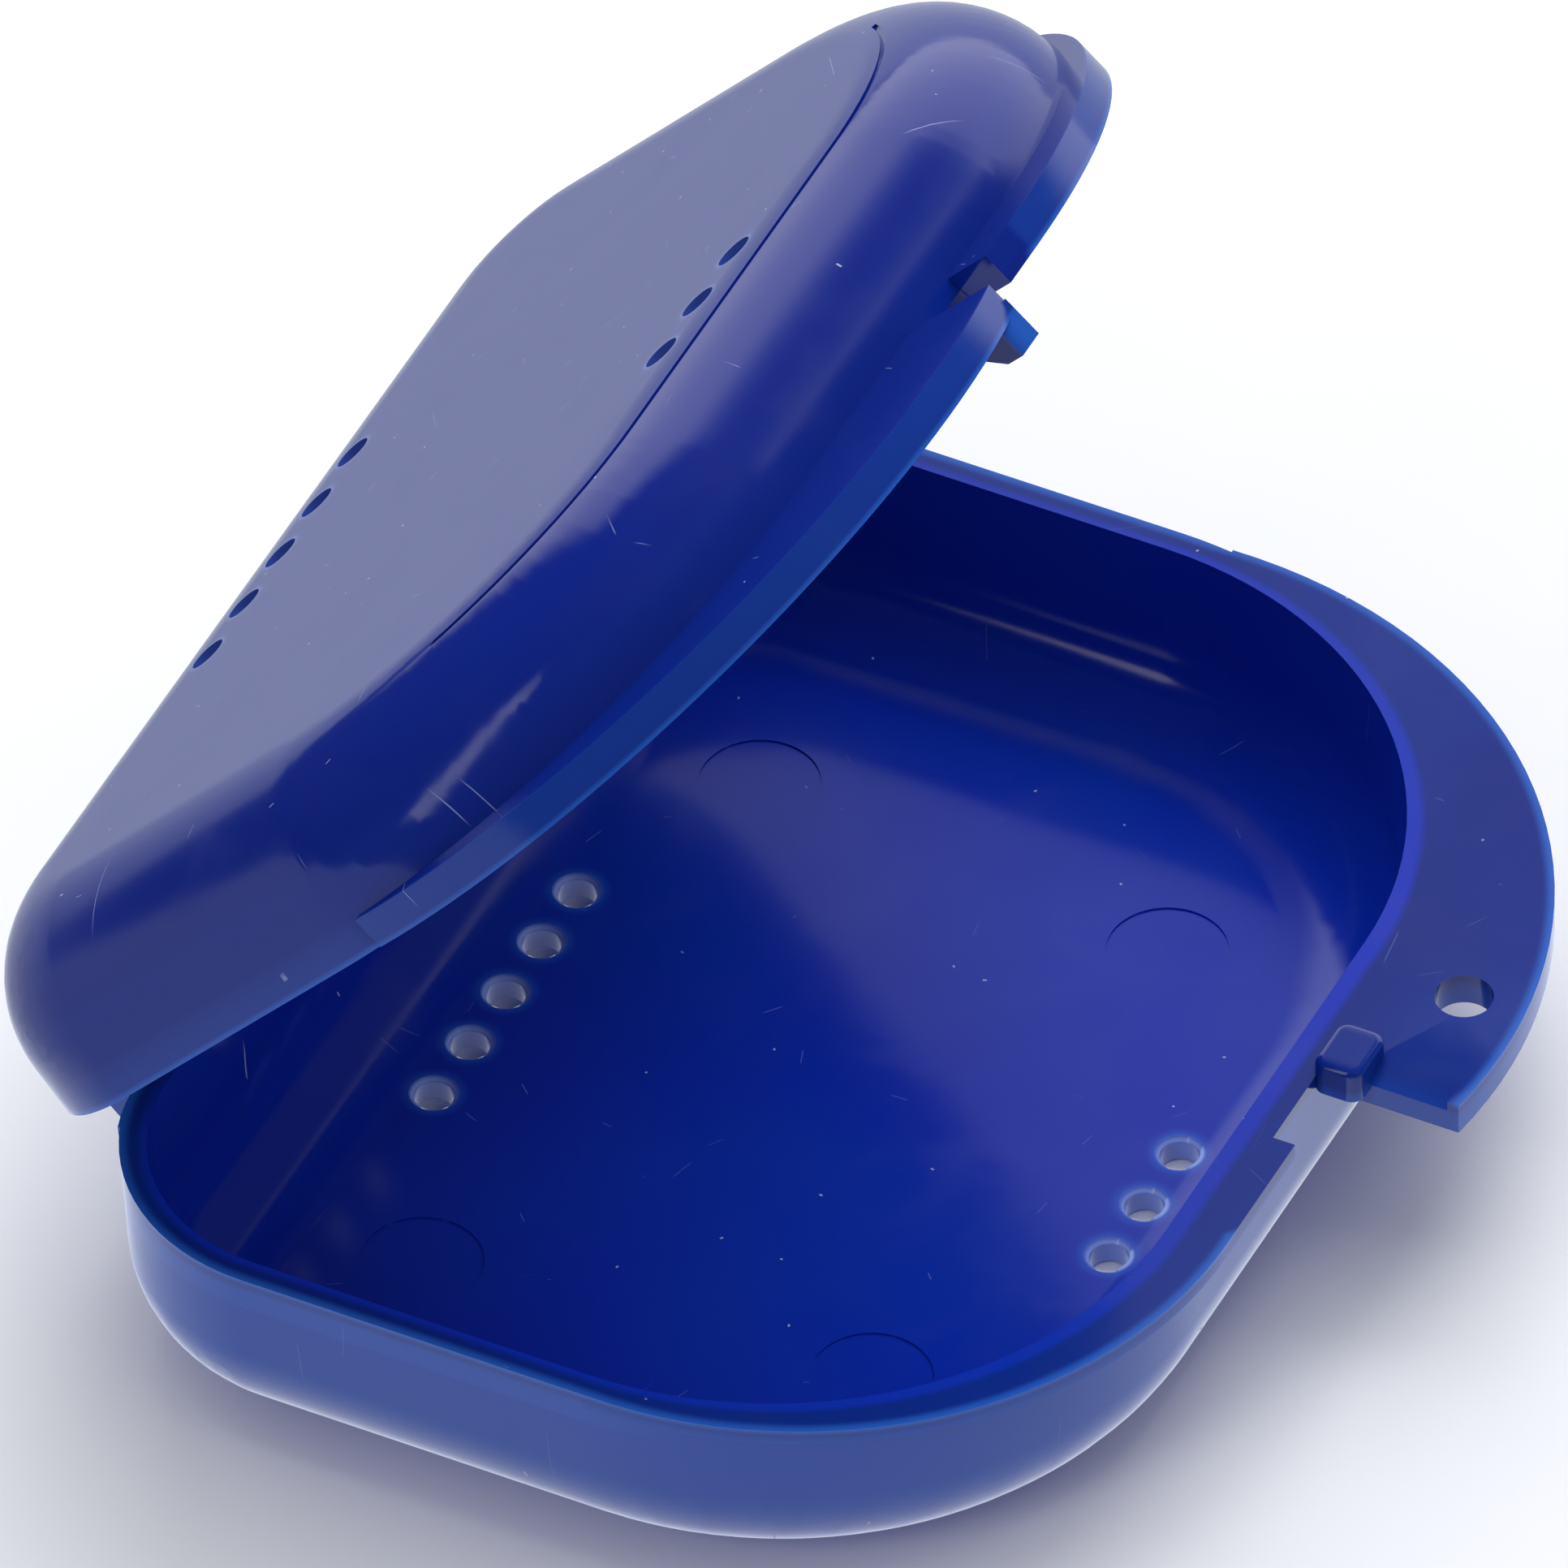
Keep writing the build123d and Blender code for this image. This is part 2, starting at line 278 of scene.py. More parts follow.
class Shader:
    """Builds the node tree of one material or of the world."""

    def __init__(self, tree: bpy.types.NodeTree) -> None:
        """Start from an empty tree.

        Args:
            tree: The node tree to fill.
        """
        self.tree = tree
        self.tree.nodes.clear()

    def node(
        self,
        kind: str,
        settings: Optional[dict[str, Any]] = None,
        sockets: Optional[dict[Union[str, int], Any]] = None,
    ) -> bpy.types.Node:
        """Add a node, set it up and feed its inputs.

        Args:
            kind: Blender's type of the node.
            settings: Properties of the node, set before its inputs.
            sockets: Numbers, colours or wires, by the input's name or place.

        Returns:
            The node.
        """
        made = self.tree.nodes.new(kind)
        for name, value in (settings or {}).items():
            setattr(made, name, value)
        for key, value in (sockets or {}).items():
            if isinstance(value, Wire):
                self.tree.links.new(value.socket, made.inputs[key])
            else:
                made.inputs[key].default_value = value
        return made

    def wire(self, kind: str, output: Union[str, int], **rest: Any) -> Wire:
        """Add a node and give one of its outputs.

        Args:
            kind: Blender's type of the node.
            output: Name or place of the output.
            **rest: Settings and sockets, as node takes them.

        Returns:
            The output.
        """
        return Wire(self, self.node(kind, **rest).outputs[output])

    def noise(self, place: Wire, scale: float, detail: float, turn: float = 0.0) -> Wire:
        """Add smooth noise from 0 to 1.

        Args:
            place: Coordinates.
            scale: Lumps per unit of the coordinates.
            detail: Octaves of finer lumps.
            turn: How far the lumps are bent out of shape.

        Returns:
            The noise.
        """
        sockets = {"Vector": place, "Scale": scale, "Detail": detail, "Distortion": turn}
        return self.wire("ShaderNodeTexNoise", 0, sockets=sockets)

    def turned(
        self,
        place: Wire,
        angle: Vector = NO_MOVE,
        shift: Vector = NO_MOVE,
        stretch: Vector = NO_STRETCH,
    ) -> Wire:
        """Turn, move and stretch coordinates.

        Args:
            place: Coordinates.
            angle: Turn about each axis, in radians.
            shift: Move that follows the turn.
            stretch: Scale along each axis, which comes first.

        Returns:
            The new coordinates.
        """
        sockets = {"Vector": place, "Location": shift, "Rotation": angle, "Scale": stretch}
        return self.wire("ShaderNodeMapping", 0, sockets=sockets)

    def vectors(self, step: VectorStep, sockets: dict[Union[str, int], Any]) -> Wire:
        """Do arithmetic with coordinates."""
        settings = {"operation": step.value}
        return self.wire("ShaderNodeVectorMath", 0, settings=settings, sockets=sockets)

    def axes(self, place: Wire) -> tuple[Wire, ...]:
        """Split coordinates into x, y and z."""
        split = self.node("ShaderNodeSeparateXYZ", sockets={0: place})
        return tuple(Wire(self, output) for output in split.outputs)

    def ray(self, kind: Ray) -> Wire:
        """Give 1 for one kind of ray and 0 for the others."""
        return self.wire("ShaderNodeLightPath", kind.value)

    def blend(self, share: Number, first: Union[Wire, Colour], second: Union[Wire, Colour]) -> Wire:
        """Mix two colours.

        Args:
            share: 0 gives the first colour and 1 the second.
            first: A colour.
            second: Another colour.

        Returns:
            The mixed colour.
        """
        settings = {"data_type": "RGBA", "clamp_factor": False}
        sockets = {0: share, 6: first, 7: second}
        return self.wire("ShaderNodeMix", 2, settings=settings, sockets=sockets)

    def surface(self, sockets: dict[str, Any]) -> None:
        """End a material in one principled surface.

        Args:
            sockets: Inputs of the surface, by name.
        """
        principled = self.wire("ShaderNodeBsdfPrincipled", 0, sockets=sockets)
        self.node("ShaderNodeOutputMaterial", sockets={"Surface": principled})


def new_material(title: str) -> tuple[bpy.types.Material, Shader]:
    """Start a material.

    Args:
        title: Its name.

    Returns:
        The material, and the shader that fills its tree.
    """
    material = bpy.data.materials.new(title)
    material.use_nodes = True
    return material, Shader(material.node_tree)


def new_mesh(title: str, work: bmesh.types.BMesh, finish: bpy.types.Material) -> bpy.types.Mesh:
    """Turn worked geometry into a mesh with one material, and free the work.

    Args:
        title: Name of the mesh.
        work: The geometry.
        finish: Material of every face.

    Returns:
        The mesh.
    """
    mesh = bpy.data.meshes.new(title)
    work.to_mesh(mesh)
    work.free()
    mesh.materials.clear()
    mesh.materials.append(finish)
    return mesh


def new_object(title: str, data: bpy.types.ID) -> bpy.types.Object:
    """Make an object and put it in the scene.

    Args:
        title: Name of the object.
        data: Its mesh, lamp or camera.

    Returns:
        The object.
    """
    made = bpy.data.objects.new(title, data)
    bpy.context.scene.collection.objects.link(made)
    return made


@dataclass(frozen=True)
class Span:
    """Soft step between two values; with the start above the end it falls."""

    start: float
    end: float

    def of(self, value: Wire) -> Wire:
        """Give 0 before the start and 1 past the end."""
        return value.rising(self.start, self.end)


@dataclass(frozen=True)
class Blotches:
    """Soft blotches of smooth noise; the scale is in lumps per millimetre."""

    scale: float
    detail: float
    span: Span
    turn: float = 0.0

    def mask(self, shader: Shader, place: Wire) -> Wire:
        """Draw the blotches, from 0 to 1."""
        return self.span.of(shader.noise(place, self.scale, self.detail, self.turn))


@dataclass(frozen=True)
class Crescent:
    """Round outer edge of a wing or flange, in the closed case's millimetres."""

    centre_x: float
    centre_y: float
    radius: float

    def distance(self, x: Wire, y: Wire) -> Wire:
        """Give how far a place lies outside the edge; inside it is below 0."""
        return ((x - self.centre_x) ** 2.0 + (y - self.centre_y) ** 2.0) ** 0.5 - self.radius


@dataclass(frozen=True)
class BodyOutline:
    """Outline of the case's walls at the parting plane, in millimetres.

    Across the middle the corners' radius changes from the hinge's to the front's.
    """

    half_depth: float = 32.6
    half_width: float = 42.3
    hinge_corner: float = 13.5
    front_corner: float = 28.5
    middle: Span = Span(-0.5, 0.5)

    def distance(self, x: Wire, y: Wire) -> Wire:
        """Give how far a place lies outside the outline.

        Args:
            x: Place along x, in millimetres.
            y: Place along y, in millimetres.

        Returns:
            The distance, below 0 inside the outline.
        """
        wider = self.front_corner - self.hinge_corner
        corner = self.middle.of(x) * wider + self.hinge_corner
        past_x = abs(x) - self.half_depth + corner
        past_y = abs(y) - self.half_width + corner
        round_part = (past_x.larger(0.0) ** 2.0 + past_y.larger(0.0) ** 2.0) ** 0.5
        return round_part + past_x.larger(past_y).smaller(0.0) - corner


@dataclass(frozen=True)
class VentRows:
    """Two rows of round vents along the hinge, in millimetres.

    The reach counts the vents on either side of the middle one. The halo and the ring are
    widths outside a vent's edge, and soft is half the width over which the edge fades.
    """

    hinge_x: float = -22.15
    hinge_reach: int = 2
    front_x: float = 21.85
    front_reach: int = 1
    pitch: float = 5.0
    radius: float = 1.25
    halo: float = 1.1
    ring: float = 0.4
    soft: float = 0.1

    def _row(self, x: Wire, y: Wire, row_x: float, reach: int) -> Wire:
        """Give the distance to the nearest vent's centre in one row."""
        step = (y / self.pitch).rounded().larger(-float(reach)).smaller(float(reach))
        return ((x - row_x) ** 2.0 + (y - step * self.pitch) ** 2.0) ** 0.5

    def glow(self, x: Wire, y: Wire) -> tuple[Wire, Wire]:
        """Give the masks of the glow painted round the vents.

        Args:
            x: Place along x, in millimetres.
            y: Place along y, in millimetres.

        Returns:
            A wide faint halo and a narrow bright ring, each from 0 to 1.
        """
        hinge = self._row(x, y, self.hinge_x, self.hinge_reach)
        front = self._row(x, y, self.front_x, self.front_reach)
        distance = hinge.smaller(front)
        halo = distance.rising(self.radius + self.halo, self.radius)
        outside = distance.rising(self.radius + self.ring, self.radius + self.soft)
        inside = distance.rising(self.radius - self.soft, self.radius + self.soft)
        return halo, outside * inside


@dataclass(frozen=True)
class Marks:
    """Sparse short marks, at most one in each cell of a random pattern.

    Sizes are in millimetres, and the share is that of the cells with a mark. The core is
    the share of the half width that is full, the tip the share of the length where a mark
    starts to fade, and the slant how fast it narrows above and below its own plane.
    """

    cell: float
    half_width: float
    half_length: float
    share: float
    shift: float = 0.0
    core: float = 0.3
    tip: float = 0.6
    slant: float = 0.02
    soft: float = 0.02

    def mask(self, shader: Shader, place: Wire) -> Wire:
        """Draw the marks.

        Args:
            shader: Shader to add to.
            place: Coordinates, in millimetres.

        Returns:
            1 on a mark and 0 off it.
        """
        moved = shader.turned(place, shift=Vector((self.shift, self.shift, 0.0)))
        sockets = {"Vector": moved, "Scale": 1.0 / self.cell}
        cell = shader.node("ShaderNodeTexVoronoi", sockets=sockets)
        middle = Wire(shader, cell.outputs["Position"])
        turn, chance, reach = shader.axes(Wire(shader, cell.outputs["Color"]))
        x, y, z = shader.axes(shader.vectors(VectorStep.SUBTRACT, {0: moved, 1: middle}))
        angle = turn * math.pi
        across = abs(y * angle.cosine() - x * angle.sine()).larger(abs(z) * self.slant)
        along = abs(x * angle.cosine() + y * angle.sine())
        length = reach * self.half_length + self.half_width
        width_part = across.rising(self.half_width, self.half_width * self.core)
        length_part = (along / length).rising(1.0, self.tip)
        drawn = chance.rising(1.0 - self.share, 1.0 + self.soft - self.share)
        return width_part * length_part * drawn


@dataclass(frozen=True)
class Wear:
    """Fine scratches, dust and unevenness of a moulded surface.

    The scales are in lumps per millimetre.
    """

    scratches: tuple[Marks, ...] = (
        Marks(9.0, 0.05, 3.2, 0.5),
        Marks(5.0, 0.04, 1.2, 0.45, 31.0),
    )
    dust: Marks = Marks(5.5, 0.09, 0.07, 0.22, 57.0)
    ripple_scale: float = 0.10
    ripple_detail: float = 1.0
    ripple_mm: float = 0.014
    peel_scale: float = 1.6
    peel_detail: float = 2.0
    peel_mm: float = 0.0004
    scratch_mm: float = 0.008

    def scratch_mask(self, shader: Shader, place: Wire) -> Wire:
        """Draw the straight hairlines.

        Args:
            shader: Shader to add to.
            place: Coordinates, in millimetres.

        Returns:
            1 on a scratch and 0 off it.
        """
        total = self.scratches[0].mask(shader, place)
        for marks in self.scratches[1:]:
            total = total.larger(marks.mask(shader, place))
        return total

    def height(self, shader: Shader, place: Wire, scratch: Wire) -> Wire:
        """Give the surface's unevenness.

        Args:
            shader: Shader to add to.
            place: Coordinates, in millimetres.
            scratch: Mask of the scratches.

        Returns:
            The height, in millimetres.
        """
        ripple = shader.noise(place, self.ripple_scale, self.ripple_detail) * self.ripple_mm
        peel = shader.noise(place, self.peel_scale, self.peel_detail) * self.peel_mm
        return ripple + peel - scratch * self.scratch_mm


@dataclass(frozen=True)
class PaintedShades:
    """Painted shades of one moulded half, standing in for how light falls: inside, on its rim and
    wings, and on its outer walls.
    """

    inner: Colour
    deep: Colour
    wall: Colour


@dataclass(frozen=True)
class EdgeGlow:
    """Glow painted into the colour where light would come through the outermost edges; spans are in
    millimetres.

    The line follows the corner of the rim, and the band covers the wing's thickness.
    """

    line_reach: Span = Span(-0.8, -0.05)
    line_depth: Span = Span(0.6, 0.0)
    line_share: float = 0.5
    band_reach: Span = Span(-0.4, 0.0)
    band_depth: Span = Span(2.6, 2.3)
    band_share: float = 0.12

    def mask(self, outer: Wire, depth: Wire) -> Wire:
        """Give how much glow is painted.

        Args:
            outer: How far the place lies outside the edges.
            depth: How far it lies behind the rim.

        Returns:
            The share of the painted glow's colour, 0 away from the edges.
        """
        line = self.line_reach.of(outer) * self.line_depth.of(depth)
        band = self.band_reach.of(outer) * self.band_depth.of(depth)
        return (line * self.line_share).larger(band * self.band_share)


@dataclass(frozen=True)
class MouldedPlastic:
    """Glossy dyed polypropylene with painted shades, and a painted glow where it is thin.

    The rim is the height of the half's parting face in the closed case. The side is -1
    for the half below it and 1 for the half above it.
    """

    title: str
    edges: tuple[Crescent, ...]
    rim: float
    side: float
    painted_shades: PaintedShades
    vent_glow: float
    scuffs: float
    # Painted glow colours: one for thin edges, one for the bright ring round each vent.
    painted_glow: Colour = srgb(46, 112, 214)
    halo: Colour = srgb(150, 172, 236)
    scuffed: Colour = srgb(150, 160, 205)
    dusty: Colour = srgb(205, 210, 225)
    cloud_share: float = 0.2
    halo_share: float = 0.5
    dust_share: float = 0.6
    gloss: float = 0.115
    smudge_rough: float = 0.05
    scratch_rough: float = 0.25
    dust_rough: float = 0.4
    refraction: float = 1.49
    wall_reach: Span = Span(-1.6, -0.9)
    wall_depth: Span = Span(0.2, 1.2)
    cloud: Blotches = Blotches(0.045, 2.0, Span(0.35, 0.65))
    smudge: Blotches = Blotches(0.16, 3.0, Span(0.45, 0.75), 0.6)
    outline: BodyOutline = BodyOutline()
    glow: EdgeGlow = EdgeGlow()
    vents: VentRows = VentRows()
    wear: Wear = Wear()

    def _place(self, shader: Shader, closing: Optional["Hinge"]) -> Wire:
        """Give coordinates in the closed case.

        Args:
            shader: Shader to add to.
            closing: Hinge that turns the coordinates back to the closed case.

        Returns:
            The coordinates, in millimetres.
        """
        place = shader.wire("ShaderNodeTexCoord", "Object")
        if closing is not None:
            angle, shift = closing.back_to_closed()
            place = shader.turned(place, angle, shift)
        return shader.vectors(VectorStep.SCALE, {0: place, "Scale": 1 / MM})

    def _clean_colour(self, shader: Shader, place: Wire) -> Wire:
        """Colour the plastic before its wear: painted shades inside and on its walls, and painted
        glow on thin edges and round vents.

        Args:
            shader: Shader to add to.
            place: Coordinates, in millimetres.

        Returns:
            The colour.
        """
        x, y, z = shader.axes(place)
        depth = (z - self.rim) * self.side
        outer = self.outline.distance(x, y)
        wall = self.wall_reach.of(outer)
        for edge in self.edges:
            outer = outer.smaller(edge.distance(x, y))
        cloud = self.cloud.mask(shader, place) * self.cloud_share
        halo, ring = self.vents.glow(x, y)
        # Painted shades: one inside, one on the rim and wings, and a lighter one on the outer
        # walls, for how light falls on the plastic.
        colour = shader.blend(wall, self.painted_shades.inner, self.painted_shades.deep)
        colour = shader.blend(wall * self.wall_depth.of(depth), colour, self.painted_shades.wall)
        colour = shader.blend(cloud, colour, self.painted_shades.wall)
        # Painted glow along the outermost edges, where light would come through thin plastic.
        colour = shader.blend(self.glow.mask(outer, depth), colour, self.painted_glow)
        # Painted glow round the vents: a faint halo in the glow colour and a bright ring in the
        # halo colour.
        colour = shader.blend(halo * self.vent_glow * self.halo_share, colour, self.painted_glow)
        return shader.blend(ring * self.vent_glow, colour, self.halo)

    def build(self, closing: Optional["Hinge"] = None) -> bpy.types.Material:
        """Make the material.

        Args:
            closing: Hinge that turns the coordinates back to the closed case.

        Returns:
            The material.
        """
        material, shader = new_material(self.title)
        place = self._place(shader, closing)
        scratch = self.wear.scratch_mask(shader, place)
        dust = self.wear.dust.mask(shader, place)
        colour = self._clean_colour(shader, place)
        colour = shader.blend(scratch * self.scuffs, colour, self.scuffed)
        colour = shader.blend(dust * self.dust_share, colour, self.dusty)
        smudged = self.smudge.mask(shader, place) * self.smudge_rough + self.gloss
        rough = scratch * self.scratch_rough + dust * self.dust_rough + smudged
        height = self.wear.height(shader, place, scratch)
        relief = {"Strength": 1.0, "Distance": MM, "Height": height}
        bump = shader.wire("ShaderNodeBump", 0, sockets=relief)
        shader.surface(
            {"Base Color": colour, "Roughness": rough, "Normal": bump, "IOR": self.refraction}
        )
        return material


@dataclass(frozen=True)
class PinPlastic:
    """Plain matt plastic of the hinge pins, with drawn marks along them."""

    title: str = "pin_plastic"
    dark: Colour = srgb(8, 20, 100)
    light: Colour = srgb(16, 36, 128)
    grain: Vector = Vector((9.0, 0.4, 9.0))
    detail: float = 3.0
    relief_mm: float = 0.01
    rough: float = 0.35
    rough_spread: float = 0.2

    def build(self) -> bpy.types.Material:
        """Make the material.

        Returns:
            The material.
        """
        material, shader = new_material(self.title)
        place = shader.wire("ShaderNodeTexCoord", "Object")
        drawn = shader.turned(place, stretch=self.grain / MM)
        streak = shader.noise(drawn, 1.0, self.detail)
        colour = shader.blend(streak, self.dark, self.light)
        rough = streak * self.rough_spread + self.rough
        relief = {"Distance": self.relief_mm * MM, "Height": streak}
        bump = shader.wire("ShaderNodeBump", 0, sockets=relief)
        shader.surface({"Base Color": colour, "Roughness": rough, "Normal": bump})
        return material


@dataclass(frozen=True)
class FloorPaper:
    """Pale paper that the case stands on; for glossy rays it is painted dark and glows as a painted
    table, brighter near the case, so that mirrored in the plastic it ends like a table.

    The fleck's scale and the edge's span count in metres, and the near span counts
    millimetres outside the case's walls.
    """

    title: str = "floor_paper"
    first: Colour = srgb(232, 233, 236)
    second: Colour = srgb(226, 228, 232)
    painted_dark_beyond: Colour = srgb(30, 32, 40)
    edge_bearings: tuple[float, ...] = (27.0, -63.0)
    edge: Span = Span(0.28, 0.33)
    near: Span = Span(38.0, 4.0)
    near_light: float = 0.42
    far_light: float = 0.56
    table_light: Colour = (0.93, 1.0, 1.12, 1.0)
    fleck_scale: float = 40.0
    fleck_detail: float = 4.0
    rough: float = 0.7
    outline: BodyOutline = BodyOutline()

    def _past_edge(self, x: Wire, y: Wire) -> Wire:
        """Tell the table from what lies past its edges.

        Args:
            x: Place along x, in metres.
            y: Place along y, in metres.

        Returns:
            1 past an edge and 0 on the table.
        """
        ways = [towards(bearing, 0.0) for bearing in self.edge_bearings]
        steps = [self.edge.of(x * way.x + y * way.y) for way in ways]
        past = steps[0]
        for step in steps[1:]:
            past = past.larger(step)
        return past

    def build(self) -> bpy.types.Material:
        """Make the material.

        Returns:
            The material.
        """
        material, shader = new_material(self.title)
        place = shader.wire("ShaderNodeTexCoord", "Object")
        x, y, _ = shader.axes(place)
        mirrored = shader.ray(Ray.GLOSSY)
        fleck = shader.noise(place, self.fleck_scale, self.fleck_detail)
        paper = shader.blend(fleck, self.first, self.second)
        near = self.near.of(self.outline.distance(x / MM, y / MM))
        # Painted reflection: for glossy rays the floor glows, brighter near the case's walls, and
        # is painted dark past the table's edges.
        light = near * self.near_light + self.far_light
        table = light * (1.0 - self._past_edge(x, y)) * mirrored
        shader.surface(
            {
                "Base Color": shader.blend(mirrored, paper, self.painted_dark_beyond),
                "Roughness": self.rough,
                "Emission Color": shader.blend(table, BLACK, self.table_light),
                "Emission Strength": 1.0,
            }
        )
        return material


@dataclass(frozen=True)
class Hinge:
    """Axis that the lid turns about, as the record gives it."""

    axis_place: Vector
    open_angle: float

    @classmethod
    def from_record(cls) -> "Hinge":
        """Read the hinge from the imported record.

        Returns:
            The hinge.
        """
        joint = frame["joints"][0]
        closed, _ = joint["range_deg"]
        return cls(Vector(joint["pos_m"]), math.radians(-closed))

    def back_to_closed(self) -> tuple[Vector, Vector]:
        """Give the turn and the move that close the lid's coordinates.

        Returns:
            Turn about each axis in radians, and the move in metres.
        """
        turn = Matrix.Rotation(self.open_angle, 3, "Y")
        return Vector((0, self.open_angle, 0)), self.axis_place - turn @ self.axis_place


@dataclass
class Moulding:
    """One moulded half: a smooth, closed mesh made from a CAD node's triangles."""

    title: str
    node: str
    body: str
    slot: str
    merge_gap: float = 0.002 * MM
    sliver: float = 0.0005 * MM
    crease: float = math.radians(32)
    face_weight: int = 60

    def build(self, finish: bpy.types.Material) -> bpy.types.Object:
        """Make the piece, let it ride on its body and hide the node that it stands for.

        Args:
            finish: Material of the piece.

        Returns:
            The piece.
        """
        work = bmesh.new()
        work.from_mesh(frame["nodes"][self.node].data)
        bmesh.ops.remove_doubles(work, verts=work.verts, dist=self.merge_gap)
        bmesh.ops.dissolve_degenerate(work, edges=work.edges, dist=self.sliver)
        for face in work.faces:
            face.smooth = True
        for edge in work.edges:
            edge.smooth = edge.is_manifold and edge.calc_face_angle() < self.crease
        mesh = new_mesh(self.title, work, finish)
        if "custom_normal" in mesh.attributes:
            mesh.attributes.remove(mesh.attributes["custom_normal"])
        piece = new_object(self.title, mesh)
        weighted = piece.modifiers.new("smooth_faces", "WEIGHTED_NORMAL")
        weighted.keep_sharp = True
        weighted.weight = self.face_weight
        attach(piece, self.body)
        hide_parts(self.node)
        LOG.info("%s: %d faces on %s", self.title, len(mesh.polygons), self.body)
        return piece


@dataclass
class HingePins:
    """Two short pins that the lid's knuckles turn on."""

    nodes: tuple[str, ...] = ("hinge_pin_near", "hinge_pin_far")

    def dress(self, finish: bpy.types.Material) -> None:
        """Give both pins their material.

        Args:
            finish: The material.
        """
        for name in self.nodes:
            mesh = frame["nodes"][name].data
            mesh.materials.clear()
            mesh.materials.append(finish)
            LOG.info("%s: dressed", name)


@dataclass
class RetainerCase:
    """The whole case: tray, lid and hinge pins."""

    tray_edges: tuple[Crescent, ...] = (Crescent(8.6, 8.8, 33.5), Crescent(5.3, -13.5, 28.8))
    lid_edges: tuple[Crescent, ...] = (Crescent(8.6, -8.8, 33.5), Crescent(4.2, 10.3, 32.0))
    tray_rim: float = 15.3
    lid_rim: float = 15.6
    # Painted shades of each half: inside, on the rim and wings, and on the outer walls.
    tray_painted_shades: PaintedShades = PaintedShades(srgb(9, 40, 166), srgb(8, 32, 118), srgb(14, 62, 158))
    lid_painted_shades: PaintedShades = PaintedShades(srgb(8, 30, 120), srgb(8, 30, 120), srgb(9, 34, 124))

    def build(self) -> None:
        """Make every piece of the case."""
        hinge = Hinge.from_record()
        tray = MouldedPlastic(
            title="tray_plastic",
            edges=self.tray_edges,
            rim=self.tray_rim,
            side=-1.0,
            painted_shades=self.tray_painted_shades,
            vent_glow=0.8,
            scuffs=0.12,
        )
        lid = MouldedPlastic(
            title="lid_plastic",
            edges=self.lid_edges,
            rim=self.lid_rim,
            side=1.0,
            painted_shades=self.lid_painted_shades,
            vent_glow=0.15,
            scuffs=0.6,
        )
        Moulding("tray_moulding", "base_tray", "tray", "tray_plastic").build(tray.build())
        Moulding("lid_moulding", "lid", "lid", "lid_plastic").build(lid.build(hinge))
        HingePins().dress(PinPlastic().build())


@dataclass(frozen=True)
class Lamp:
    """Rectangular soft lamp that faces the case and isn't mirrored in it.

    Angles are in degrees, lengths in metres and the power in watts.
    """

    title: str
    azimuth: float
    elevation: float
    distance: float
    width: float
    height: float
    power: float

    def build(self, target: Vector) -> bpy.types.Object:
        """Hang the lamp.

        Args:
            target: Point that it faces.

        Returns:
            The lamp.
        """
        data = bpy.data.lights.new(self.title, "AREA")
        data.shape = "RECTANGLE"
        data.size = self.width
        data.size_y = self.height
        data.energy = self.power
        lamp = new_object(self.title, data)
        away = towards(self.azimuth, self.elevation)
        lamp.location = target + away * self.distance
        lamp.rotation_euler = away.to_track_quat("Z", "Y").to_euler()
        lamp.visible_glossy = False
        return lamp


@dataclass(frozen=True)
class Patch:
    """Bright patch of the room that the glossy plastic mirrors; angles in degrees."""

    azimuth: float
    half_width: float
    low: float
    high: float
    level: float
    soft_side: float
    soft_top: float
    ragged: float = 0.0
    soft_foot: float = 2.0

    def light(self, way: tuple[Wire, ...], ripple: Wire) -> Wire:
        """Give the patch's brightness in one direction.

        Args:
            way: The direction's x, y and z.
            ripple: Noise from -0.5 to 0.5 that breaks up the sides.

        Returns:
            The brightness, 0 outside the patch.
        """
        x, y, z = way
        turn = math.radians(self.azimuth)
        ahead = x * math.sin(turn) - y * math.cos(turn)
        aside = x * math.cos(turn) + y * math.sin(turn)
        bearing = abs(aside.bearing(ahead)) + ripple * self.ragged
        rise = z.rise()
        outer_side = self.half_width + self.soft_side
        side = bearing.rising(outer_side, self.half_width - self.soft_side)
        foot = rise.rising(self.low - self.soft_foot, self.low + self.soft_foot)
        top = rise.rising(self.high + self.soft_top, self.high - self.soft_top)
        return side * foot * top * self.level


